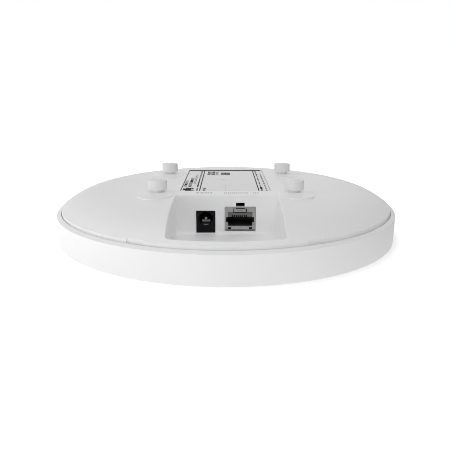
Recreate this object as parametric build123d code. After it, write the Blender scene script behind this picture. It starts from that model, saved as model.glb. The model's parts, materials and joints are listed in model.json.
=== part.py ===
from build123d import *
import math
import os

# Ceiling access point. It lies on its front face, with the ceiling side up.
# +Z points to the ceiling side, the cable pocket opens towards -Y, and the
# origin is the centre of the front face. All sizes are in millimetres.

# ---- overall housing -------------------------------------------------------
OUTER_R = 92.4          # largest radius of the front cover's wall
BOTTOM_R = 92.3         # wall radius at the front face (draft)
RING_Z = 13.78          # outer edge of the bevelled ring on top of the wall
RING_MID = (91.26, 14.49)
WALL_TOP = 15.05        # inner edge of the bevelled ring
WALL_INNER_R = 90.05    # inner radius of the wall above the ledge
LEDGE_R = 88.0          # inner radius of the wall below the ledge
LEDGE_Z = 12.4          # ledge that carries the back cover's rim
FRONT_T = 2.0           # thickness of the front face
RIM_R = 89.72           # outer radius of the back cover's rim
NOTCH_R = 89.2          # radius of the floor of the release notches
SKIRT_R = 87.8          # outer radius of the skirt below the rim
SKIRT_IN_R = 86.2       # inner radius of the skirt
SKIRT_Z = 8.6           # lower edge of the skirt
COVER_T = 2.0           # thickness of the back cover
PLATEAU_Z = 26.45       # flat middle of the back cover
DOME = [(45.0, 26.45), (50.0, 26.36), (55.0, 26.20), (60.0, 25.92), (65.0, 25.51),
        (69.0, 25.01), (72.0, 24.48), (78.0, 22.93), (83.0, 20.84), (87.0, 18.45),
        (88.45, 17.40), (89.35, 16.70)]  # radius and height of the dome outside the plateau

# ---- cable pocket ----------------------------------------------------------
POCKET_HALF = 25.0      # half width of the pocket
PANEL_Y = -36.7         # plane of the connector panel
POCKET_FLOOR = 6.6
POCKET_LIP_R = 87.3     # radius of the pocket's front edge on the dome
WALL_T = 2.0

# ---- mounting studs --------------------------------------------------------
STUD_X = 34.83          # half of the spacing along X
STUD_Y = 29.14          # half of the spacing along Y
STUD_HEAD_D = 9.66
STUD_NECK_D = 5.9
STUD_HEAD_Z = 28.0      # underside of the head
STUD_TOP_Z = 33.20
STUD_NUB_R = 2.45       # small raised disc on the head
PAD_Z = 26.75           # top of the raised pads under the studs
PAD_HALF = 8.6          # half width of a pad

# ---- connectors ------------------------------------------------------------
RJ_X0, RJ_X1 = -0.52, 14.81
RJ_Z0, RJ_Z1 = 7.99, 20.39
RJ_BACK_Y = -15.5
RJ_MID = 6.76           # middle of the row of contacts
FACE_Y = -36.9          # front faces of both connectors, 0.2 proud of the panel
DC_X0, DC_X1 = -14.90, -5.48
DC_Z0, DC_Z1 = 7.20, 18.34
DC_CX, DC_CZ = -10.08, 14.37
DC_BORE_R = 3.4
DC_BACK_Y = -22.5

# ---- board -----------------------------------------------------------------
PCB_Z0, PCB_Z1 = 6.35, 7.95
PCB_R = 80.0

# ---- reset button ----------------------------------------------------------
RESET_Y, RESET_Z = -60.0, 11.2
RESET_TRAVEL = 0.5

os.makedirs("parts", exist_ok=True)


def block(x0, x1, y0, y1, z0, z1):
    return Pos((x0 + x1) / 2, (y0 + y1) / 2, (z0 + z1) / 2) * Box(x1 - x0, y1 - y0, z1 - z0)


def rod(r, z0, z1, x=0.0, y=0.0):
    return Pos(x, y, (z0 + z1) / 2) * Cylinder(r, z1 - z0)


def rod_x(r, x0, x1, y, z):
    return Pos((x0 + x1) / 2, y, z) * Rot(0, 90, 0) * Cylinder(r, x1 - x0)


def rod_y(r, y0, y1, x, z):
    return Pos(x, (y0 + y1) / 2, z) * Rot(90, 0, 0) * Cylinder(r, y1 - y0)


def outline(points):
    """Edges of a closed outline in the XZ plane. Each point is (r, z) or (r, z, fillet)."""
    n = len(points)
    legs = []
    for i, p in enumerate(points):
        x, z = p[0], p[1]
        f = p[2] if len(p) > 2 else 0.0
        if f <= 0:
            legs.append(((x, z), None, (x, z)))
            continue
        ax, az = points[i - 1][0] - x, points[i - 1][1] - z
        bx, bz = points[(i + 1) % n][0] - x, points[(i + 1) % n][1] - z
        la, lb = math.hypot(ax, az), math.hypot(bx, bz)
        ax, az, bx, bz = ax / la, az / la, bx / lb, bz / lb
        half = math.acos(max(-1.0, min(1.0, ax * bx + az * bz))) / 2
        t = f / math.tan(half)
        hx, hz = ax + bx, az + bz
        lh = math.hypot(hx, hz)
        d = f / math.sin(half) - f
        legs.append(((x + ax * t, z + az * t), (x + hx / lh * d, z + hz / lh * d), (x + bx * t, z + bz * t)))
    edges = []
    for i, (start, mid, end) in enumerate(legs):
        if mid:
            edges.append(ThreePointArc((start[0], 0, start[1]), (mid[0], 0, mid[1]), (end[0], 0, end[1])))
        nxt = legs[(i + 1) % n][0]
        if math.hypot(nxt[0] - end[0], nxt[1] - end[1]) > 1e-6:
            edges.append(Line((end[0], 0, end[1]), (nxt[0], 0, nxt[1])))
    return edges


def turned(edges):
    face = make_face(Wire(edges))
    return revolve(face, Axis.Z, 360)


def save(name, *solids):
    flat = []
    for s in solids:
        flat.extend(s.solids())
    shape = flat[0] if len(flat) == 1 else Compound(children=flat)
    export_step(shape, "parts/" + name + ".step")
    print(name, len(flat), "solids", round(sum(s.volume for s in flat), 1), "mm3")


def stadium(x, y0, y1, r, z0, z1):
    return (block(x - r, x + r, y0 + r, y1 - r, z0, z1)
            + rod(r, z0, z1, x, y0 + r) + rod(r, z0, z1, x, y1 - r))


# ---- front cover: a shallow dish with a ledge, four screw bosses -----------
front_cover = turned(outline([
    (0, 0), (BOTTOM_R, 0, 0.4), (OUTER_R, RING_Z, 0.12), (*RING_MID, 4.0), (WALL_INNER_R, WALL_TOP, 0.32),
    (WALL_INNER_R, LEDGE_Z), (LEDGE_R, LEDGE_Z, 0.3), (LEDGE_R, 11.0), (88.6, 10.4),
    (88.6, 9.2), (LEDGE_R, 8.6), (LEDGE_R, FRONT_T, 2.5), (0, FRONT_T)]))
BOSSES = [(-30.0, 2.0), (30.0, 2.0), (-30.0, 44.0), (30.0, 44.0)]
for bx, by in BOSSES:
    front_cover += rod(3.6, 1.0, PCB_Z0, bx, by)
    for a in range(4):
        rib = Pos(bx, by, 2.9) * Rot(0, 0, 45 + 90 * a) * Pos(4.6, 0, 0) * Box(4.0, 1.0, 3.4)
        front_cover += rib
# board rests near the edge
for a in range(8):
    if a == 6:      # the pocket is here
        continue
    ang = math.radians(a * 45 + 10)
    front_cover += rod(2.2, 1.0, PCB_Z0 - 0.02, 74.0 * math.cos(ang), 74.0 * math.sin(ang))
# stiffening ribs inside the wall, below the ledge and clear of the pocket
for a in range(12):
    deg = a * 30 + 15
    if 235 < deg < 305:
        continue
    front_cover += Rot(0, 0, deg) * block(84.0, 88.4, -0.6, 0.6, 1.0, 7.6)
for bx, by in BOSSES:
    front_cover -= rod(1.3, 1.0, PCB_Z0 + 1, bx, by)
LIGHT_X, LIGHT_Y = 0.0, 58.0
front_cover -= rod(1.35, -1, 5, LIGHT_X, LIGHT_Y)
save("front_cover", front_cover)

# ---- back cover ------------------------------------------------------------
dome_pts = [(r, 0, z) for r, z in DOME]
outer_spline = Spline(*dome_pts, tangents=[(1, 0, 0), (1, 0, -0.78)])


def inner_dome():
    pts = []
    for i in range(13):
        u = i / 12
        p = outer_spline @ u
        t = outer_spline % u
        nx, nz = t.Z, -t.X          # points inwards, below the dome
        if nz > 0:
            nx, nz = -nx, -nz
        x, z = p.X + nx * COVER_T, p.Z + nz * COVER_T
        if x < SKIRT_IN_R - 1.2:
            pts.append((x, 0, z))
    return pts


inner_pts = inner_dome()
last = inner_pts[-1]
inner_end = (SKIRT_IN_R, 0, last[2] - (SKIRT_IN_R - last[0]) * 0.80)
inner_spline = Spline(*inner_pts, inner_end, tangents=[(1, 0, 0), (1, 0, -0.9)])
e0 = dome_pts[-1]
rim_corner = (RIM_R - 0.04, 0, 16.35)
cover_edges = [
    Line((0, 0, PLATEAU_Z), dome_pts[0]), outer_spline,
    ThreePointArc(e0, (RIM_R - 0.12, 0, 16.60), rim_corner),
    Line(rim_corner, (RIM_R, 0, LEDGE_Z + 0.06)),
    Line((RIM_R, 0, LEDGE_Z + 0.06), (SKIRT_R, 0, LEDGE_Z + 0.06)),
    Line((SKIRT_R, 0, LEDGE_Z + 0.06), (SKIRT_R, 0, SKIRT_Z)),
    Line((SKIRT_R, 0, SKIRT_Z), (SKIRT_IN_R, 0, SKIRT_Z)),
    Line((SKIRT_IN_R, 0, SKIRT_Z), inner_end), inner_spline,
    Line(inner_pts[0], (0, 0, PLATEAU_Z - COVER_T)),
    Line((0, 0, PLATEAU_Z - COVER_T), (0, 0, PLATEAU_Z)),
]
shell = turned(cover_edges)
fill_edges = [
    Line((0, 0, PLATEAU_Z), dome_pts[0]), outer_spline,
    ThreePointArc(e0, (RIM_R - 0.12, 0, 16.60), rim_corner),
    Line(rim_corner, (RIM_R, 0, LEDGE_Z + 0.06)),
    Line((RIM_R, 0, LEDGE_Z + 0.06), (SKIRT_R, 0, LEDGE_Z + 0.06)),
    Line((SKIRT_R, 0, LEDGE_Z + 0.06), (SKIRT_R, 0, POCKET_FLOOR - WALL_T)),
    Line((SKIRT_R, 0, POCKET_FLOOR - WALL_T), (0, 0, POCKET_FLOOR - WALL_T)),
    Line((0, 0, POCKET_FLOOR - WALL_T), (0, 0, PLATEAU_Z)),
]
filled = turned(fill_edges)
pocket_body = filled & block(-POCKET_HALF - WALL_T, POCKET_HALF + WALL_T, -95, PANEL_Y + WALL_T, 0, 40)
# the pocket's clear space: flat panel, side walls and a rounded front wall
room = block(-POCKET_HALF, POCKET_HALF, -95, PANEL_Y, POCKET_FLOOR, 40)
room = fillet(room.edges().filter_by(
    lambda e: abs(e.center().Z - POCKET_FLOOR) < 0.01 and e.center().Y > -90), 1.4)
plan = Pos(0, (-95 + PANEL_Y) / 2) * Rectangle(2 * POCKET_HALF, 95 + PANEL_Y)
plan = plan & Circle(POCKET_LIP_R)
front_corners = plan.vertices().group_by(Axis.Y)[0]
plan = fillet(front_corners, 2.2)
room = room & extrude(plan, 60)
turn = turned(outline([(0, POCKET_FLOOR), (SKIRT_IN_R, POCKET_FLOOR, 1.2), (SKIRT_IN_R, 14.6),
                       (POCKET_LIP_R, 17.3), (POCKET_LIP_R, 45), (0, 45)]))
room = room & turn
back_cover = shell + pocket_body - room
# softened edge all round the pocket's mouth
try:
    mouth = back_cover.edges().filter_by(
        lambda e: e.center().Y < PANEL_Y + 0.05 and abs(e.center().X) < POCKET_HALF + 0.05
        and e.center().Z > 16.0 and e.bounding_box().max.Z > 17.5
        and e.center().Y > -87.32 and e.bounding_box().min.Z > 17.0
        and math.hypot(e.center().X, e.center().Y) < 87.35)
    print("mouth edges", [(round(e.center().X, 1), round(e.center().Y, 1), round(e.center().Z, 1), round(e.length, 1)) for e in mouth])
    back_cover = fillet(mouth, 0.35)
    print("mouth softened")
except Exception as err:
    print("mouth edges left sharp", err)

# raised pads under the studs
PADS = []
for sx in (-1, 1):
    PADS.append((sx * 35.0, -46.3, -20.4))
    PADS.append((sx * 35.0, 13.9, 38.6))
for px, y0, y1 in PADS:
    pad = stadium(px, y0, y1, PAD_HALF, 24.9, PAD_Z)
    pad = fillet(pad.edges().group_by(Axis.Z)[-1], 0.35)
    back_cover += pad
# recess for the label
label_cut = block(-24.1, 23.6, -26.0, 45.7, 26.20, 27)
label_cut = fillet(label_cut.edges().filter_by(Axis.Z), 1.6)
back_cover -= label_cut
# holes for the studs
STUDS = [(sx * STUD_X, sy * STUD_Y) for sx in (-1, 1) for sy in (-1, 1)]
for x, y in STUDS:
    back_cover += rod(4.2, 22.4, 25.0, x, y)
    back_cover -= rod(2.1, 20, 30, x, y)
# connector cut-outs in the panel
back_cover -= block(RJ_X0 - 0.12, RJ_X1 + 0.12, PANEL_Y - 1, PANEL_Y + WALL_T + 1, RJ_Z0 - 0.12, RJ_Z1 + 0.12)
back_cover -= block(4.96, 9.35, PANEL_Y - 1, PANEL_Y + WALL_T + 1, RJ_Z1, 22.52)
back_cover -= block(DC_X0 - 0.12, DC_X1 + 0.12, PANEL_Y - 1, PANEL_Y + WALL_T + 1, DC_Z0 - 0.12, DC_Z1 + 0.12)
# reset pinhole in the pocket's left wall
back_cover -= rod_x(0.8, -POCKET_HALF - WALL_T - 1, -POCKET_HALF + 1, RESET_Y, RESET_Z)
# release notches in the rim, one pair at the front and one at the rear
for centre, t0, t1 in ((-115, -4.4, 4.05), (-65, -4.05, 4.4), (65, -4.4, 4.05), (115, -4.05, 4.4)):
    tool = Rot(0, 0, centre) * block(86.0, 92.0, t0, t1, LEDGE_Z - 0.2, 22)
    back_cover -= tool - rod(NOTCH_R, LEDGE_Z - 1, 23)
# snap ridges on the skirt
ridge = turned(outline([(SKIRT_R - 0.5, 10.4), (SKIRT_R, 10.4), (88.35, 10.0), (88.35, 9.6), (SKIRT_R, 9.2),
                        (SKIRT_R - 0.5, 9.2)]))
for a in range(8):
    deg = a * 45 + 22.5
    back_cover += ridge & (Rot(0, 0, deg) * block(80, 95, -4, 4, 8, 12))
save("back_cover", back_cover)

# ---- mounting studs and their screws --------------------------------------
studs, screws = [], []
for x, y in STUDS:
    s = turned(outline([
        (0, 24.4), (2.0, 24.4), (2.0, PAD_Z), (STUD_NECK_D / 2, PAD_Z), (STUD_NECK_D / 2, STUD_HEAD_Z, 0.25),
        (STUD_HEAD_D / 2, STUD_HEAD_Z, 0.40), (STUD_HEAD_D / 2, STUD_TOP_Z - 0.3, 0.15),
        (STUD_NUB_R, STUD_TOP_Z - 0.3), (STUD_NUB_R, STUD_TOP_Z, 0.15), (0, STUD_TOP_Z)]))
    s -= rod(1.05, 24, 30.5)
    studs.append(Pos(x, y, 0) * s)
    c = turned(outline([(0, 20.6), (2.3, 20.6, 0.5), (2.3, 22.35), (1.0, 22.35), (1.0, 29.6, 0.4), (0, 29.6)]))
    c -= block(-1.5, 1.5, -0.3, 0.3, 20, 21.5)
    c -= block(-0.3, 0.3, -1.5, 1.5, 20, 21.5)
    screws.append(Pos(x, y, 0) * c)
save("mounting_studs", *studs)
save("stud_screws", *screws)

# ---- product label ---------------------------------------------------------
label = block(-23.8, 23.3, -25.7, 45.4, 26.20, 26.35)
label = fillet(label.edges().filter_by(Axis.Z), 1.3)
save("product_label", label)

# ---- main board ------------------------------------------------------------
board = rod(PCB_R, PCB_Z0, PCB_Z1)
board -= block(-POCKET_HALF - WALL_T - 0.5, POCKET_HALF + WALL_T + 0.5, -95, PANEL_Y + WALL_T + 0.4, 0, 20)
for bx, by in BOSSES:
    board -= rod(1.65, 0, 20, bx, by)
# plated holes for the connectors' legs
RJ_PINS = [(RJ_MID + (i - 3.5) * 1.0, -21.0 if i % 2 else -18.6) for i in range(8)]
for x, y in RJ_PINS:
    board -= rod(0.45, 0, 20, x, y)
for x in (RJ_X0 + 0.18, RJ_X1 - 0.18):
    board -= block(x - 0.45, x + 0.45, -27.9, -25.9, 0, 20)
save("main_board", board)

# ---- network socket --------------------------------------------------------
T = 0.36
FACE_Z0 = 8.85          # lower edge of the shield's face
shield = block(RJ_X0, RJ_X1, FACE_Y, RJ_BACK_Y, RJ_Z0, RJ_Z1) - block(
    RJ_X0 + T, RJ_X1 - T, FACE_Y + T, RJ_BACK_Y - T, RJ_Z0 - 1, RJ_Z1 - T)
# the face stops above the socket's foot, and the shield folds under it further back
shield -= block(RJ_X0 - 1, RJ_X1 + 1, FACE_Y - 1, FACE_Y + 0.9, RJ_Z0 - 1, FACE_Z0)
shield += block(RJ_X0, RJ_X1, FACE_Y + 0.9, -31.5, RJ_Z0, RJ_Z0 + T)
OPEN_X0, OPEN_X1, OPEN_Z0, OPEN_Z1 = 0.98, 13.20, 10.66, 17.82
shield -= block(OPEN_X0, OPEN_X1, FACE_Y - 1, FACE_Y + 1, OPEN_Z0, OPEN_Z1)
shield -= block(-0.02, 14.08, FACE_Y - 1, FACE_Y + 1, 12.64, 15.24)
shield -= block(0.99, 2.51, FACE_Y - 1, FACE_Y + 1, 8.99, 10.03)
shield -= block(11.59, 13.12, FACE_Y - 1, FACE_Y + 1, 8.99, 10.03)
# latch window with its sprung leaf, and the finger that rises above the face
shield -= block(3.50, 10.50, FACE_Y - 1, FACE_Y + 1, 17.40, 19.60)
shield -= block(5.00, 9.30, FACE_Y - 1, FACE_Y + 1, 19.50, 20.06)
leaf = Polyline((0, FACE_Y - 0.08, 17.88), (0, FACE_Y + 0.32, 19.36), (0, FACE_Y + 0.40, 19.40),
                (0, FACE_Y + 3.6, 19.26), (0, FACE_Y + 3.6, 19.06), (0, FACE_Y + 0.52, 19.20),
                (0, FACE_Y + 0.18, 17.88), (0, FACE_Y - 0.08, 17.88))
shield += Pos(3.85, 0, 0) * extrude(make_face(leaf), 9.98 - 3.85, dir=(1, 0, 0))
shield += block(5.2, 8.6, FACE_Y + 3.4, FACE_Y + 3.6, 19.08, RJ_Z1)
shield += block(5.02, 9.29, FACE_Y + 0.02, FACE_Y + 0.02 + 0.3, RJ_Z1 - 0.3, 20.95)
shield += block(5.02, 9.29, FACE_Y + 0.02, FACE_Y + 3.0, RJ_Z1 - 0.02, RJ_Z1 + 0.06)
# side slots with ground fingers, and two board legs
for x0, x1 in ((RJ_X0 - 1, RJ_X0 + 1), (RJ_X1 - 1, RJ_X1 + 1)):
    shield -= block(x0, x1, -33.0, -27.0, 12.2, 12.6)
    shield -= block(x0, x1, -33.0, -27.0, 15.2, 15.6)
for x in (RJ_X0 + 0.18, RJ_X1 - 0.18):
    shield += block(x - 0.18, x + 0.18, -27.6, -26.2, 5.6, RJ_Z0 + 1)
save("rj45_shield", shield)

GAP = 0.06
ix0, ix1 = RJ_X0 + T + GAP, RJ_X1 - T - GAP
iy0, iy1 = FACE_Y + T + GAP, RJ_BACK_Y - T - GAP
iz0, iz1 = RJ_Z0 + T + GAP, RJ_Z1 - T - GAP
insert = block(ix0, ix1, iy0, iy1, iz0, iz1)
insert -= block(OPEN_X0, OPEN_X1, iy0 - 1, -24.0, OPEN_Z0, OPEN_Z1)
# shoulders behind the side notches
insert -= block(ix0 - 1, ix1 + 1, iy0 - 1, -32.6, 12.5, 15.4)
# space behind the latch window and behind the two square holes
insert -= block(3.3, 10.7, iy0 - 1, -30.0, OPEN_Z1 - 0.5, iz1 + 1)
insert -= block(0.8, 2.7, iy0 - 1, -29.0, 8.8, 10.2)
insert -= block(11.4, 13.3, iy0 - 1, -29.0, 8.8, 10.2)
# step for the foot
insert -= block(ix0 - 1, ix1 + 1, iy0 - 1, FACE_Y + 0.96, RJ_Z0, FACE_Z0 + 0.03)
for i in range(8):
    x, y = RJ_PINS[i]
    insert -= block(x - 0.27, x + 0.27, -24.7, y + 0.3, 16.35, 17.1)
    insert -= block(x - 0.27, x + 0.27, y - 0.3, y + 0.3, 5, 17.1)
save("rj45_insert", insert)

# comb that guides the contacts along the top of the cavity, and the foot below the face
COMB_Y, COMB_Z, COMB_LOW = -36.3, 16.3, 14.86
comb = [
    Line((0, COMB_Y, 17.78), (0, COMB_Y, COMB_Z)),
    ThreePointArc((0, COMB_Y, COMB_Z), (0, -36.02, 15.48), (0, -35.2, COMB_LOW)),
    Line((0, -35.2, COMB_LOW), (0, -24.1, COMB_LOW)), Line((0, -24.1, COMB_LOW), (0, -24.1, 17.78)),
    Line((0, -24.1, 17.78), (0, COMB_Y, 17.78))]
comb = Pos(OPEN_X0 + 0.04, 0, 0) * extrude(make_face(Wire(comb)), OPEN_X1 - OPEN_X0 - 0.08, dir=(1, 0, 0))
comb += block(OPEN_X0 + 0.04, 2.80, COMB_Y, -33.0, 15.35, 17.78)
comb += block(10.72, OPEN_X1 - 0.04, COMB_Y, -33.0, 15.35, 17.78)
# open space under the sprung leaf
comb -= block(3.7, 10.3, COMB_Y - 1, -33.6, 17.24, 18)
for x, y in RJ_PINS:
    comb -= block(x - 0.30, x + 0.30, COMB_Y - 1, -24.0, 14.0, COMB_Z)
    comb -= block(x - 0.30, x + 0.30, -35.6, -24.0, 14.0, 17.0)
foot = block(RJ_X0 + T + 0.04, RJ_X1 - T - 0.04, FACE_Y + 0.42, FACE_Y + 0.87, RJ_Z0, FACE_Z0 - 0.02)
save("rj45_comb", comb, foot)

contacts = []
W = 0.34
for i in range(8):
    x, y = RJ_PINS[i]
    wire = (block(x - W / 2, x + W / 2, -33.2, y + W / 2, 16.62, 16.62 + 0.26)
            + block(x - W / 2, x + W / 2, y - W / 2, y + W / 2, 5.7, 16.88))
    tip = Polyline((0, -33.2, 16.88), (0, -33.2, 16.60), (0, -32.9, 16.32), (0, -27.2, 15.15), (0, -27.1, 15.43),
                   (0, -32.6, 16.62), (0, -32.6, 16.88), (0, -33.2, 16.88))
    tip = Pos(x - W / 2, 0, 0) * extrude(make_face(tip), W, dir=(1, 0, 0))
    contacts.append((wire + tip).clean())
save("rj45_contacts", *contacts)

# ---- power socket ----------------------------------------------------------
dc = block(DC_X0, DC_X1, FACE_Y, -34.45, DC_Z0, DC_Z1) + block(
    DC_X0 + 0.15, DC_X1 - 0.15, -34.5, DC_BACK_Y, PCB_Z1 + 0.02, DC_Z1 - 0.15)
dc = fillet(dc.edges().filter_by(Axis.Y).group_by(Axis.Z)[-1], 0.25)
dc -= rod_y(DC_BORE_R, FACE_Y - 1, FACE_Y + 9.5, DC_CX, DC_CZ)
dc -= Pos(DC_CX, FACE_Y + 0.25, DC_CZ) * Rot(90, 0, 0) * Cone(DC_BORE_R - 0.05, DC_BORE_R + 0.35, 0.5)
dc -= rod_y(1.03, FACE_Y + 9.0, DC_BACK_Y - 1.4, DC_CX, DC_CZ)
# slot for the sprung contact below the pin
dc -= block(DC_CX - 2.25, DC_CX + 2.25, FACE_Y + 1.2, FACE_Y + 11.5, 10.20, 12.25)
save("dc_jack_body", dc)
pin = turned(outline([(0, 0), (1.0, 0), (1.0, 10.95, 0.3), (0.6, 11.4), (0, 11.4)]))
pin = Pos(DC_CX, FACE_Y + 1.4 + 11.4, DC_CZ) * Rot(90, 0, 0) * pin
save("dc_jack_pin", pin)


def strip(points, t):
    """Closed outline in the YZ plane of a bent strip of thickness t along the given line."""
    sides = ([], [])
    for i, (y, z) in enumerate(points):
        a = points[max(i - 1, 0)]
        b = points[min(i + 1, len(points) - 1)]
        u = (y - a[0], z - a[1]) if i else (b[0] - y, b[1] - z)
        v = (b[0] - y, b[1] - z) if i < len(points) - 1 else u
        lu, lv = math.hypot(*u), math.hypot(*v)
        n = (-u[1] / lu - v[1] / lv, u[0] / lu + v[0] / lv)
        k = t / (n[0] * n[0] + n[1] * n[1])
        for side, sign in zip(sides, (1, -1)):
            side.append((0, y + sign * n[0] * k, z + sign * n[1] * k))
    return Polyline(*sides[0], *reversed(sides[1]), sides[0][0])


spring = strip([(-35.56, 10.62), (-35.38, 11.18), (-33.2, 11.95), (-32.85, 12.85), (-31.9, 12.92),
                (-27.6, 11.3), (-25.6, 10.75)], 0.28)
spring = Pos(DC_CX - 2.1, 0, 0) * extrude(make_face(spring), 4.2, dir=(1, 0, 0))
save("dc_jack_spring", spring)

# ---- heat spreader ---------------------------------------------------------
hs = block(-34, 34, -2, 48, 12.0, 13.8)
hs = fillet(hs.edges().filter_by(Axis.Z), 4.0)
hs += block(-8, 12, 8, 28, 10.2, 12.1)
for i in range(11):
    x = -25 + i * 5
    hs += block(x - 0.7, x + 0.7, 4, 42, 13.7, 19.0)
for bx, by in BOSSES:
    hs += rod(3.4, PCB_Z1 + 0.02, 12.1, bx, by)
    hs -= rod(1.7, 5, 30, bx, by)
save("heat_sink", hs)
save("thermal_pad", block(-7, 11, 9, 27, 9.6, 10.18))
cpu = block(-7.5, 11.5, 8.5, 27.5, PCB_Z1, 8.75) + block(-5.5, 9.5, 10.5, 25.5, 8.7, 9.58)
save("processor", cpu)
save("memory_chips", block(-21, -12, 8, 20, PCB_Z1, 9.05), block(-21, -12, 23, 35, PCB_Z1, 9.05))

cans, radios = [], []
for cx in (-51.0, 51.0):
    can = block(cx - 11, cx + 11, 4, 32, PCB_Z1, 10.9)
    can = fillet(can.edges().filter_by(Axis.Z), 1.0)
    can -= block(cx - 10.75, cx + 10.75, 4.25, 31.75, PCB_Z1 - 1, 10.65)
    for i in range(4):
        for j in range(5):
            can -= rod(0.6, 10, 12, cx - 6 + i * 4, 10 + j * 4)
    cans.append(can)
    radios.append(block(cx - 4.5, cx + 4.5, 13, 22, PCB_Z1, 9.0))
save("shield_cans", *cans)
save("radio_chips", *radios)
save("ethernet_transformer", block(-0.5, 14.7, -13.6, -4.6, PCB_Z1, 12.6))

caps = []
for x, y in ((-21.5, -14.0), (-21.5, -24.0), (-11.5, -13.0)):
    c = turned(outline([(0, 9.0), (3.15, 9.0, 0.2), (3.15, 15.8, 0.4), (0, 15.8)]))
    c += block(-3.3, 3.3, -3.3, 3.3, PCB_Z1, 9.05)
    c -= block(-2.2, 2.2, -0.12, 0.12, 15.6, 16)
    c -= block(-0.12, 0.12, -2.2, 2.2, 15.6, 16)
    caps.append(Pos(x, y, 0) * c)
save("capacitors", *caps)
coils = []
for x, y in ((23.0, -14.0), (23.0, -24.5)):
    c = block(-3.6, 3.6, -3.6, 3.6, PCB_Z1, 12.0)
    c = chamfer(c.edges().filter_by(Axis.Z), 0.8)
    coils.append(Pos(x, y, 0) * c)
save("power_inductors", *coils)


def antenna(width, depth, height):
    t = 0.4
    a = block(-width / 2, width / 2, -depth / 2, depth / 2, PCB_Z1 + height - t, PCB_Z1 + height)
    a -= block(-width / 2 + 3, width / 2 + 1, -0.6, 0.6, 0, 40)
    a += block(-width / 2, -width / 2 + t, -depth / 2, depth / 2, PCB_Z1, PCB_Z1 + height)
    a += block(-width / 2 + 5, -width / 2 + 7, -depth / 2, -depth / 2 + t, PCB_Z1, PCB_Z1 + height)
    return a


save("low_band_antennas", *[Rot(0, 0, a) * Pos(66, 0, 0) * Rot(0, 0, 90) * antenna(26, 8, 9.5) for a in (-22, 202)])
save("high_band_antennas", *[Rot(0, 0, a) * Pos(67, 0, 0) * Rot(0, 0, 90) * antenna(15, 6, 7.0) for a in (62, 118)])

# ---- status light ----------------------------------------------------------
save("status_led", block(LIGHT_X - 1.6, LIGHT_X + 1.6, LIGHT_Y - 0.9, LIGHT_Y + 0.9, 5.35, PCB_Z0))
pipe = turned(outline([(0, 0.05), (1.25, 0.05), (1.25, FRONT_T + 0.02), (2.4, FRONT_T + 0.02), (2.4, FRONT_T + 0.9),
                       (1.25, FRONT_T + 0.9), (1.25, 5.0, 0.2), (0, 5.0)]))
save("light_pipe", Pos(LIGHT_X, LIGHT_Y, 0) * pipe)

# ---- reset switch and its plunger -----------------------------------------
switch = block(-36.2, -29.8, RESET_Y - 3.1, RESET_Y + 3.1, PCB_Z1, 14.4)
switch -= rod_x(1.45, -34.6, -29, RESET_Y, RESET_Z)
save("reset_switch", switch)
button = rod_x(1.3, -33.2, -29.0, RESET_Y, RESET_Z) + rod_x(1.7, -29.05, -27.35, RESET_Y, RESET_Z)
button = chamfer(button.edges().filter_by(GeomType.CIRCLE).group_by(Axis.X)[-1], 0.25)
save("reset_button", button)

# ---- screws through heat spreader and board into the front cover ----------
bs = []
for bx, by in BOSSES:
    c = turned(outline([(0, 3.2), (1.25, 3.2, 0.3), (1.25, 13.85), (2.8, 13.85), (2.8, 15.6, 0.6), (0, 15.6)]))
    c -= block(-1.6, 1.6, -0.35, 0.35, 14.9, 16)
    c -= block(-0.35, 0.35, -1.6, 1.6, 14.9, 16)
    bs.append(Pos(bx, by, 0) * c)
save("board_screws", *bs)
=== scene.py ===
import bpy
import bmesh
import json
import math
import random
from mathutils import Vector, Matrix


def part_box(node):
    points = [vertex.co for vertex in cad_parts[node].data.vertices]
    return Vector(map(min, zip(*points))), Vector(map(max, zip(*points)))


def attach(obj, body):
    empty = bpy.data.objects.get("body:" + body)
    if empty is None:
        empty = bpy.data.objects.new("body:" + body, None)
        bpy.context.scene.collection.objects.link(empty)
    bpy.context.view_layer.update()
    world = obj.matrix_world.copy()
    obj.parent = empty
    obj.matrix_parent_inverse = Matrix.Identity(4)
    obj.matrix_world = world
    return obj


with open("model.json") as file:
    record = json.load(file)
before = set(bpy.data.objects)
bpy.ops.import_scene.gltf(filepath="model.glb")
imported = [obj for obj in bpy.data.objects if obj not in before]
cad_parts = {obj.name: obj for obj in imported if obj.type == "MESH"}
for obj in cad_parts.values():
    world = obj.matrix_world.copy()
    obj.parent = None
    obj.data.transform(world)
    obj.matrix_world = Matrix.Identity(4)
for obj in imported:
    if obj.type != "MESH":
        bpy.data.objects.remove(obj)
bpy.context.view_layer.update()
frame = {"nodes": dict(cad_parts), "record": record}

MM = 0.001
nodes = frame["nodes"]
scene = bpy.context.scene
random.seed(7)

# ---------------------------------------------------------------------------
# camera: in front of the cable pocket, 15 degrees above the horizon
# ---------------------------------------------------------------------------
cam_data = bpy.data.cameras.new("view_camera")
cam_data.sensor_width = 36.0
cam_data.lens = 39.40
cam_data.clip_start = 0.005
cam_data.clip_end = 50.0
cam = bpy.data.objects.new("view_camera", cam_data)
cam.location = (0.0, -0.277624, 0.076006)
cam.rotation_euler = (math.radians(90.0 - 15.198), 0.0, 0.0)
scene.collection.objects.link(cam)
scene.camera = cam

scene.view_settings.view_transform = "Standard"
scene.view_settings.look = "None"
scene.view_settings.exposure = 0.0
scene.view_settings.gamma = 1.0
scene.cycles.use_denoising = True
scene.cycles.max_bounces = 12
scene.cycles.diffuse_bounces = 10
scene.cycles.glossy_bounces = 4
scene.cycles.filter_width = 1.05


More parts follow.
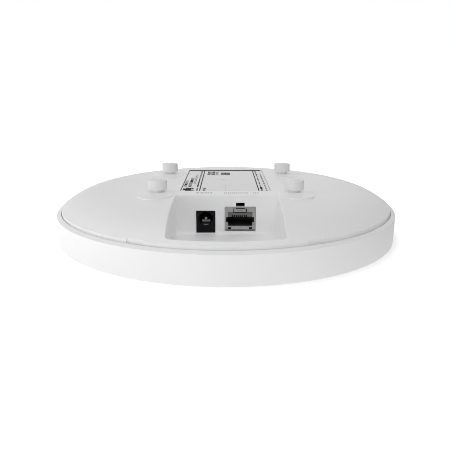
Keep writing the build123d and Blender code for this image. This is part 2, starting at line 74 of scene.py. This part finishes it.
# ---------------------------------------------------------------------------
# node helpers
# ---------------------------------------------------------------------------
class Mat:
    """A node material: a Principled shader with a few procedural layers."""

    def __init__(self, name):
        self.m = bpy.data.materials.new(name)
        self.m.use_nodes = True
        self.t = self.m.node_tree
        self.bsdf = self.t.nodes["Principled BSDF"]
        self.tc = self.t.nodes.new("ShaderNodeTexCoord")

    def set(self, **kw):
        for k, v in kw.items():
            self.bsdf.inputs[k.replace("_", " ")].default_value = v
        return self

    def coords(self, stretch=(1, 1, 1)):
        mp = self.t.nodes.new("ShaderNodeMapping")
        mp.inputs["Scale"].default_value = stretch
        self.t.links.new(self.tc.outputs["Object"], mp.inputs["Vector"])
        return mp.outputs["Vector"]

    def noise(self, scale, detail=3.0, rough=0.5, stretch=(1, 1, 1)):
        n = self.t.nodes.new("ShaderNodeTexNoise")
        n.inputs["Scale"].default_value = scale
        n.inputs["Detail"].default_value = detail
        n.inputs["Roughness"].default_value = rough
        self.t.links.new(self.coords(stretch), n.inputs["Vector"])
        return n.outputs["Fac"]

    def voronoi(self, scale, feature="F1", stretch=(1, 1, 1)):
        n = self.t.nodes.new("ShaderNodeTexVoronoi")
        n.feature = feature
        n.inputs["Scale"].default_value = scale
        self.t.links.new(self.coords(stretch), n.inputs["Vector"])
        return n.outputs["Distance"]

    def ramp(self, fac, stops):
        r = self.t.nodes.new("ShaderNodeValToRGB")
        el = r.color_ramp.elements
        while len(el) > 1:
            el.remove(el[-1])
        el[0].position, el[0].color = stops[0][0], tuple(stops[0][1]) + (1.0,)
        for pos, col in stops[1:]:
            e = el.new(pos)
            e.color = tuple(col) + (1.0,)
        self.t.links.new(fac, r.inputs["Fac"])
        return r.outputs["Color"]

    def spread(self, fac, lo, hi, a=0.3, b=0.7):
        r = self.t.nodes.new("ShaderNodeMapRange")
        r.inputs["From Min"].default_value = a
        r.inputs["From Max"].default_value = b
        r.inputs["To Min"].default_value = lo
        r.inputs["To Max"].default_value = hi
        self.t.links.new(fac, r.inputs["Value"])
        return r.outputs["Result"]

    def color(self, sock):
        self.t.links.new(sock, self.bsdf.inputs["Base Color"])
        return self

    def rough(self, sock):
        self.t.links.new(sock, self.bsdf.inputs["Roughness"])
        return self

    def bump(self, *layers):
        last = None
        for fac, dist, strength in layers:
            b = self.t.nodes.new("ShaderNodeBump")
            b.inputs["Strength"].default_value = strength
            b.inputs["Distance"].default_value = dist
            self.t.links.new(fac, b.inputs["Height"])
            if last is not None:
                self.t.links.new(last, b.inputs["Normal"])
            last = b.outputs["Normal"]
        self.t.links.new(last, self.bsdf.inputs["Normal"])
        return self


def shade(c, k):
    return tuple(max(0.0, min(1.0, v * k)) for v in c)


def plastic(name, base, r_lo, r_hi, grain=2600.0, depth=0.000012, vary=0.012, specular=0.5, flow=60.0):
    """Moulded plastic: a fine spark-eroded grain, faint flow marks, a slightly uneven sheen."""
    m = Mat(name)
    flow_n = m.noise(flow, 4.0, 0.55)
    m.color(m.ramp(flow_n, [(0.25, shade(base, 1 - vary)), (0.5, base), (0.75, shade(base, 1 + vary))]))
    m.rough(m.spread(m.noise(170.0, 4.0, 0.6), r_lo, r_hi))
    m.bump((m.noise(grain, 2.0, 0.5), depth, 0.35), (m.noise(grain * 0.23, 3.0, 0.5), depth * 1.5, 0.25))
    m.set(Specular_IOR_Level=specular, IOR=1.48)
    return m.m


def metal(name, base, r_lo, r_hi, stretch=(1, 1, 1), grain=900.0, depth=0.000006, vary=0.08):
    m = Mat(name)
    brush = m.noise(grain, 3.0, 0.6, stretch)
    m.color(m.ramp(brush, [(0.2, shade(base, 1 - vary)), (0.5, base), (0.8, shade(base, 1 + vary))]))
    m.rough(m.spread(m.noise(grain * 0.35, 4.0, 0.6, stretch), r_lo, r_hi))
    m.bump((brush, depth, 0.4))
    m.set(Metallic=1.0)
    return m.m


def paint_gap_shade(mat, r0, r1, z0, z1, dark):
    """Darken the plastic deep in the gap between the two covers: painted shade in the crevice."""
    t = mat.node_tree
    bsdf = t.nodes["Principled BSDF"]
    base = bsdf.inputs["Base Color"].links[0].from_socket
    tc = t.nodes.new("ShaderNodeTexCoord")
    sep = t.nodes.new("ShaderNodeSeparateXYZ")
    t.links.new(tc.outputs["Object"], sep.inputs["Vector"])
    flat = t.nodes.new("ShaderNodeCombineXYZ")
    t.links.new(sep.outputs["X"], flat.inputs["X"])
    t.links.new(sep.outputs["Y"], flat.inputs["Y"])
    ln = t.nodes.new("ShaderNodeVectorMath")
    ln.operation = "LENGTH"
    t.links.new(flat.outputs["Vector"], ln.inputs[0])
    a = t.nodes.new("ShaderNodeMapRange")
    a.inputs["From Min"].default_value, a.inputs["From Max"].default_value = r0, r1
    t.links.new(ln.outputs["Value"], a.inputs["Value"])
    b = t.nodes.new("ShaderNodeMapRange")
    b.inputs["From Min"].default_value, b.inputs["From Max"].default_value = z0, z1
    t.links.new(sep.outputs["Z"], b.inputs["Value"])
    both = t.nodes.new("ShaderNodeMath")
    both.operation = "MULTIPLY"
    t.links.new(a.outputs["Result"], both.inputs[0])
    t.links.new(b.outputs["Result"], both.inputs[1])
    mixc = t.nodes.new("ShaderNodeMix")
    mixc.data_type = "RGBA"
    mixc.blend_type = "MULTIPLY"
    t.links.new(both.outputs["Value"], mixc.inputs["Factor"])
    t.links.new(base, mixc.inputs["A"])
    mixc.inputs["B"].default_value = (dark, dark, dark, 1.0)
    t.links.new(mixc.outputs["Result"], bsdf.inputs["Base Color"])
    return mat


M = {}
# both covers get painted shade deep in the gap between them
M["front_white"] = paint_gap_shade(plastic("front_white_plastic", (0.950, 0.950, 0.953), 0.40, 0.50),
                           0.09035, 0.09010, 0.0149, 0.0142, 0.97)
M["back_grey"] = paint_gap_shade(plastic("back_cover_plastic", (0.946, 0.946, 0.950), 0.46, 0.56, grain=2100.0, depth=0.000018),
                         0.08905, 0.08925, 0.0169, 0.0163, 0.945)
M["stud_white"] = plastic("stud_plastic", (0.86, 0.86, 0.865), 0.40, 0.50)
M["socket_plastic"] = plastic("socket_nylon", (0.045, 0.045, 0.044), 0.42, 0.55, grain=3000.0, vary=0.06, specular=0.25)
# the comb's grey is painted light: a lighter copy of the black socket nylon, standing in for the light on the comb's
# front
M["comb_grey"] = plastic("comb_nylon_painted_light", (0.165, 0.165, 0.162), 0.40, 0.52, grain=3000.0, vary=0.04, specular=0.35)
M["jack_black"] = plastic("jack_nylon", (0.008, 0.008, 0.010), 0.42, 0.58, grain=3000.0, vary=0.1, specular=0.12)
M["button_grey"] = plastic("button_acetal", (0.45, 0.46, 0.48), 0.3, 0.4)
M["chip_black"] = plastic("chip_epoxy", (0.030, 0.030, 0.033), 0.45, 0.6, grain=4000.0, depth=0.00002, vary=0.15)
M["ferrite_grey"] = plastic("ferrite", (0.14, 0.14, 0.15), 0.5, 0.7, grain=3000.0, depth=0.00003, vary=0.12)
M["pad_silicone"] = plastic("silicone_pad", (0.32, 0.44, 0.56), 0.6, 0.75, grain=1500.0, depth=0.00002, vary=0.06)
M["label_film"] = plastic("label_film_print_base", (0.722, 0.722, 0.727), 0.30, 0.38, grain=1800.0, depth=0.000006, vary=0.006)
M["socket_steel"] = metal("nickel_plated_sheet", (0.44, 0.436, 0.425), 0.34, 0.48, (1, 6, 1))
# the pin's dark plating is painted shade: the metal is darkened for the shade inside the jack's bore
M["pin_plated"] = metal("plated_pin_painted_shade", (0.28, 0.28, 0.285), 0.22, 0.34, (6, 1, 6))
M["contact_gold"] = metal("gold_contacts", (0.83, 0.64, 0.30), 0.18, 0.3, (1, 5, 1))
M["cast_aluminium"] = metal("cast_aluminium", (0.70, 0.71, 0.72), 0.42, 0.6, (1, 1, 1), 1400.0, 0.00003, 0.05)
M["can_tin"] = metal("tinned_sheet", (0.74, 0.74, 0.73), 0.3, 0.45, (1, 4, 1))
M["zinc_steel"] = metal("zinc_screw", (0.64, 0.65, 0.67), 0.25, 0.42, (1, 1, 5))


def board_material():
    m = Mat("solder_mask_green")
    tracks = m.voronoi(420.0, "DISTANCE_TO_EDGE")
    base = m.ramp(tracks, [(0.0, (0.045, 0.20, 0.10)), (0.06, (0.045, 0.20, 0.10)), (0.08, (0.018, 0.115, 0.055)),
                           (1.0, (0.018, 0.115, 0.055))])
    m.color(base)
    m.rough(m.spread(m.noise(300.0, 3.0), 0.24, 0.36))
    m.bump((tracks, 0.00004, 0.5), (m.noise(2500.0, 2.0), 0.000008, 0.3))
    return m.m


def lens_material():
    m = Mat("clear_polycarbonate")
    haze = m.noise(240.0, 3.0)
    m.color(m.ramp(haze, [(0.3, (0.90, 0.93, 0.95)), (0.7, (0.97, 0.985, 1.0))]))
    m.rough(m.spread(haze, 0.08, 0.18))
    m.bump((m.noise(1800.0, 2.0), 0.000006, 0.2))
    m.set(Transmission_Weight=0.85, IOR=1.58)
    return m.m


def ink_material(name, base):
    """Printed ink: slightly uneven, with pinholes where the film shows through."""
    m = Mat(name)
    grit = m.noise(5200.0, 3.0, 0.6)
    m.color(m.ramp(grit, [(0.0, shade(base, 0.8)), (0.62, base), (0.80, tuple(min(1.0, v + 0.05) for v in base)),
                          (1.0, tuple(min(1.0, v + 0.12) for v in base))]))
    m.rough(m.spread(m.noise(900.0, 3.0), 0.60, 0.72))
    m.bump((grit, 0.000004, 0.3))
    m.set(Specular_IOR_Level=0.10)
    return m.m


M["board_green"] = board_material()
M["lens_clear"] = lens_material()
INK = ink_material("label_ink", (0.010, 0.010, 0.012))
INK_MID = ink_material("label_ink_mid", (0.19, 0.19, 0.195))
INK_PALE = ink_material("label_ink_pale", (0.46, 0.46, 0.465))
INK_FAINT = ink_material("label_ink_faint", (0.70, 0.70, 0.705))
MARK = ink_material("cover_ink_grey", (0.52, 0.52, 0.53))
MARK_FAINT = ink_material("cover_ink_faint", (0.70, 0.70, 0.71))

# the spring's dark metal is painted shade: darkened for the shade inside the jack's bore
BORE_SHADE_SPRING = metal("spring_metal_painted_shade", (0.34, 0.34, 0.335), 0.34, 0.48, (1, 6, 1))

slot_of = {s["node"]: s["material_slot"] for s in frame["record"]["subparts"]}
for name, obj in nodes.items():
    obj.data.materials.clear()
    obj.data.materials.append(BORE_SHADE_SPRING if name == "dc_jack_spring" else M[slot_of[name]])


# ---------------------------------------------------------------------------
# printed marks: thin ink shapes, all generic
# ---------------------------------------------------------------------------
def ink_mesh(name, rects, z, mat, thick=0.00002):
    """Thin closed slabs, one for each rectangle (x0, x1, y0, y1) in millimetres."""
    bm = bmesh.new()
    for x0, x1, y0, y1 in rects:
        xs, ys = (x0 * MM, x1 * MM), (y0 * MM, y1 * MM)
        v = [bm.verts.new((x, y, zz)) for zz in (z, z + thick) for x, y in
             ((xs[0], ys[0]), (xs[1], ys[0]), (xs[1], ys[1]), (xs[0], ys[1]))]
        bm.faces.new((v[3], v[2], v[1], v[0]))
        bm.faces.new(v[4:8])
        for i in range(4):
            j = (i + 1) % 4
            bm.faces.new((v[i], v[j], v[j + 4], v[i + 4]))
    me = bpy.data.meshes.new(name)
    bm.to_mesh(me)
    bm.free()
    me.materials.append(mat)
    ob = bpy.data.objects.new(name, me)
    scene.collection.objects.link(ob)
    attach(ob, "housing")
    return ob


def dashes(x0, x1, y0, y1, lo, hi, gap, along="y"):
    """A run of bars of uneven length, the way lines of small print look from a distance."""
    out, p, end = [], (y0 if along == "y" else x0), (y1 if along == "y" else x1)
    while p < end - 0.2:
        n = min(end, p + random.uniform(lo, hi))
        out.append((x0, x1, p, n) if along == "y" else (p, n, y0, y1))
        p = n + random.uniform(gap * 0.7, gap * 1.5)
    return out


lab_lo, lab_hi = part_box("product_label")
LAB_Z = lab_hi.z + 0.000002
lx0, lx1, ly0, ly1 = lab_lo.x / MM, lab_hi.x / MM, lab_lo.y / MM, lab_hi.y / MM

black, mid, pale, faint = [], [], [], []
black.append((lx0 + 0.4, lx1 - 0.9, ly1 - 3.9, ly1 - 0.2))           # strip along the rear edge
black.append((lx0 + 0.02, lx0 + 0.42, ly0 + 1.3, ly1 - 1.4))         # left border
black.append((-14.02, -13.47, -25.3, ly1 - 3.1))                     # column lines
black.append((16.85, 17.40, -25.3, ly1 - 3.1))
pale.append((lx1 - 0.34, lx1 - 0.04, ly0 + 1.3, ly1 - 1.4))          # right border
# small print beside the left column line, heavier towards the front
black.append((-15.75, -14.95, -14.2, -8.8))
black += dashes(-15.72, -15.00, -8.2, 12.0, 2.4, 5.0, 0.6)
mid += dashes(-15.75, -14.85, 12.8, ly1 - 4.2, 2.4, 5.0, 0.9)
mid.append((-15.6, -14.85, -24.9, -17.2))
# three blocks of small print on the left
for x in (-22.95, -22.35, -21.75):
    black += dashes(x, x + 0.34, -13.6, 5.0, 1.6, 4.0, 0.9)
black.append((-22.6, -21.5, -8.6, -5.4))
for x in (-20.45, -19.85, -19.25):
    black += dashes(x, x + 0.38, -13.6, 15.0, 1.8, 4.2, 0.7)
black += [(-20.3, -19.1, 1.2, 6.6), (-20.3, -19.0, -13.6, -11.4)]
for x in (-18.0, -17.35):
    black += dashes(x, x + 0.30, -4.4, 26.0, 1.8, 3.6, 1.0)
# heavy block of bars at the front of the left column
black += [(-22.7, -21.4, -23.6, -18.9), (-21.4, -18.3, -25.1, -17.2),
          (-18.2, -17.2, -19.8, -17.3), (-18.2, -16.9, -24.7, -22.3)]
mid += [(-12.05, -10.65, -20.0, -17.2), (-12.05, -10.75, -25.0, -21.8), (-12.05, -11.4, -21.8, -20.0)]
# symbol: four dark corners on grey, a pale block beside it, and a dark bar
pale += [(-11.4, -6.8, 25.7, 38.6), (-6.4, -4.7, 25.5, 38.2)]
black += [(-11.5, -10.15, 26.0, 30.0), (-8.35, -6.85, 26.0, 30.0), (-11.4, -10.4, 33.8, 38.0), (-8.2, -7.1, 33.8, 38.4)]
mid.append((-3.25, 2.45, 25.6, 34.2))
black += [(1.5, 2.35, 26.3, 29.6), (-0.75, 0.15, 29.8, 33.6)]
# small print in the two right-hand columns
mid += dashes(18.25, 19.05, 28.6, ly1 - 4.2, 2.2, 4.0, 0.9)
black.append((18.35, 19.20, 22.6, 27.6))
black += dashes(18.40, 19.10, -13.6, 21.0, 1.8, 3.2, 1.9)
black += [(18.25, 19.45, -20.8, -14.6), (18.35, 19.15, -24.9, -21.6)]
black += dashes(20.90, 21.60, -24.8, 30.0, 1.8, 3.4, 2.0)
faint += [(-0.42, -0.16, -24.0, -8.5), (-2.2, -0.4, 7.4, 9.8)]
ink_mesh("label_print_pale", pale, LAB_Z, INK_PALE)
ink_mesh("label_print_mid", mid, LAB_Z, INK_MID)
ink_mesh("label_print_faint", faint, LAB_Z, INK_FAINT)
ink_mesh("label_print", black, LAB_Z + 0.000021, INK)

# marks on the cover in front of the label, over the two sockets
cover_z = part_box("product_label")[1].z + 0.0001 + 0.000002
left_marks = dashes(-15.2, -6.9, -32.6, -29.2, 0.9, 1.6, 0.45, along="x")
right_marks = [(-0.95 + 1.03 * i, -0.95 + 1.03 * i + 0.58, -32.6, -30.2) for i in range(12)]
right_marks += [(13.70 + 1.03 * i, 13.70 + 1.03 * i + 0.58, -32.6, -30.2) for i in range(3)]
ink_mesh("socket_marks_left", left_marks, cover_z, MARK_FAINT)
ink_mesh("socket_marks_right", right_marks, cover_z, MARK)

# ---------------------------------------------------------------------------
# floor, background and soft studio light
# ---------------------------------------------------------------------------
FLOOR_LEFT, FLOOR_RIGHT = 1.701, 0.189    # how strongly the white floor lights the object, from left to right
WORLD = 0.391         # soft fill from all round
fl = bpy.data.meshes.new("studio_floor")
fb = bmesh.new()
bmesh.ops.create_grid(fb, x_segments=8, y_segments=8, size=6.0)
fb.to_mesh(fl)
fb.free()
floor = bpy.data.objects.new("studio_floor", fl)
floor.location = (0, 0, -0.0002)
scene.collection.objects.link(floor)
fm = bpy.data.materials.new("studio_floor_white")
fm.use_nodes = True
ft = fm.node_tree
ft.nodes.clear()
out = ft.nodes.new("ShaderNodeOutputMaterial")
floor_mix = ft.nodes.new("ShaderNodeMixShader")
floor_ray = ft.nodes.new("ShaderNodeLightPath")
em = ft.nodes.new("ShaderNodeEmission")
em.name = "floor_bounce"
em.inputs["Color"].default_value = (1, 1, 1, 1)
em_pos = ft.nodes.new("ShaderNodeTexCoord")
em_xyz = ft.nodes.new("ShaderNodeSeparateXYZ")
em_fall = ft.nodes.new("ShaderNodeMapRange")
em_fall.name = "floor_bounce_fall"
em_fall.inputs["From Min"].default_value = -0.30
em_fall.inputs["From Max"].default_value = 0.30
em_fall.inputs["To Min"].default_value = FLOOR_LEFT
em_fall.inputs["To Max"].default_value = FLOOR_RIGHT
ft.links.new(em_pos.outputs["Object"], em_xyz.inputs["Vector"])
ft.links.new(em_xyz.outputs["X"], em_fall.inputs["Value"])
ft.links.new(em_fall.outputs["Result"], em.inputs["Strength"])
seen = ft.nodes.new("ShaderNodeEmission")
seen.name = "floor_seen"
seen.inputs["Color"].default_value = (1, 1, 1, 1)
# close to the object the floor's emission falls away in a ring: a painted contact shadow, added to the diffuse part's
# real shading
ftc = ft.nodes.new("ShaderNodeTexCoord")
reach = ft.nodes.new("ShaderNodeVectorMath")
reach.operation = "LENGTH"
painted_contact_shadow = ft.nodes.new("ShaderNodeMapRange")
painted_contact_shadow.inputs["From Min"].default_value = 0.0923
painted_contact_shadow.inputs["From Max"].default_value = 0.1080
painted_contact_shadow.inputs["To Min"].default_value = 0.255
painted_contact_shadow.inputs["To Max"].default_value = 1.0
ft.links.new(ftc.outputs["Object"], reach.inputs[0])
ft.links.new(reach.outputs["Value"], painted_contact_shadow.inputs["Value"])
ft.links.new(painted_contact_shadow.outputs["Result"], seen.inputs["Strength"])
lit = ft.nodes.new("ShaderNodeBsdfDiffuse")
lit.inputs["Color"].default_value = (0.9, 0.9, 0.9, 1)
both = ft.nodes.new("ShaderNodeAddShader")
ft.links.new(seen.outputs["Emission"], both.inputs[0])
ft.links.new(lit.outputs["BSDF"], both.inputs[1])
ft.links.new(floor_ray.outputs["Is Camera Ray"], floor_mix.inputs["Fac"])
ft.links.new(em.outputs["Emission"], floor_mix.inputs[1])
ft.links.new(both.outputs["Shader"], floor_mix.inputs[2])
ft.links.new(floor_mix.outputs["Shader"], out.inputs["Surface"])
fl.materials.append(fm)

world = bpy.data.worlds.new("studio_world")
scene.world = world
world.use_nodes = True
wt = world.node_tree
wt.nodes.clear()
wo = wt.nodes.new("ShaderNodeOutputWorld")
mix = wt.nodes.new("ShaderNodeMixShader")
lp = wt.nodes.new("ShaderNodeLightPath")
soft = wt.nodes.new("ShaderNodeBackground")
soft.name = "soft_fill"
soft.inputs["Color"].default_value = (1, 1, 1, 1)
soft.inputs["Strength"].default_value = WORLD
back = wt.nodes.new("ShaderNodeBackground")
back.name = "white_backdrop"
back.inputs["Color"].default_value = (1, 1, 1, 1)
back.inputs["Strength"].default_value = 1.0
wt.links.new(lp.outputs["Is Camera Ray"], mix.inputs["Fac"])
wt.links.new(soft.outputs["Background"], mix.inputs[1])
wt.links.new(back.outputs["Background"], mix.inputs[2])
wt.links.new(mix.outputs["Shader"], wo.inputs["Surface"])

# azimuth from the front (towards +X is positive), elevation, distance, size, power
LIGHTS = [
    ("front_low_softbox", -30.0, 3.0, 1.3, 0.7, 3.14),
    ("front_high_softbox", 0.0, 68.0, 1.3, 0.7, 2.11),
    ("rear_low_softbox", -180.0, 18.0, 1.3, 0.7, 1.18),
    ("rear_right_low_softbox", 150.0, 18.0, 1.3, 0.7, 0.79),
    ("rear_left_softbox", -150.0, 18.0, 1.3, 0.7, 0.58),
    ("left_softbox", -90.0, 35.0, 1.3, 0.7, 2.21),
    ("right_high_softbox", 45.0, 52.0, 1.3, 0.7, 1.22),
]


def softbox(name, az, el, dist, size, power):
    d = bpy.data.lights.new(name, "AREA")
    d.shape = "SQUARE"
    d.size = size
    d.energy = power
    o = bpy.data.objects.new(name, d)
    a, e = math.radians(az), math.radians(el)
    pos = Vector((math.sin(a) * math.cos(e), -math.cos(a) * math.cos(e), math.sin(e))) * dist
    o.location = pos
    o.rotation_euler = (Vector((0, 0, 0.012)) - pos).to_track_quat("-Z", "Y").to_euler()
    o.visible_camera = False
    scene.collection.objects.link(o)
    return o


for row in LIGHTS:
    softbox(*row)
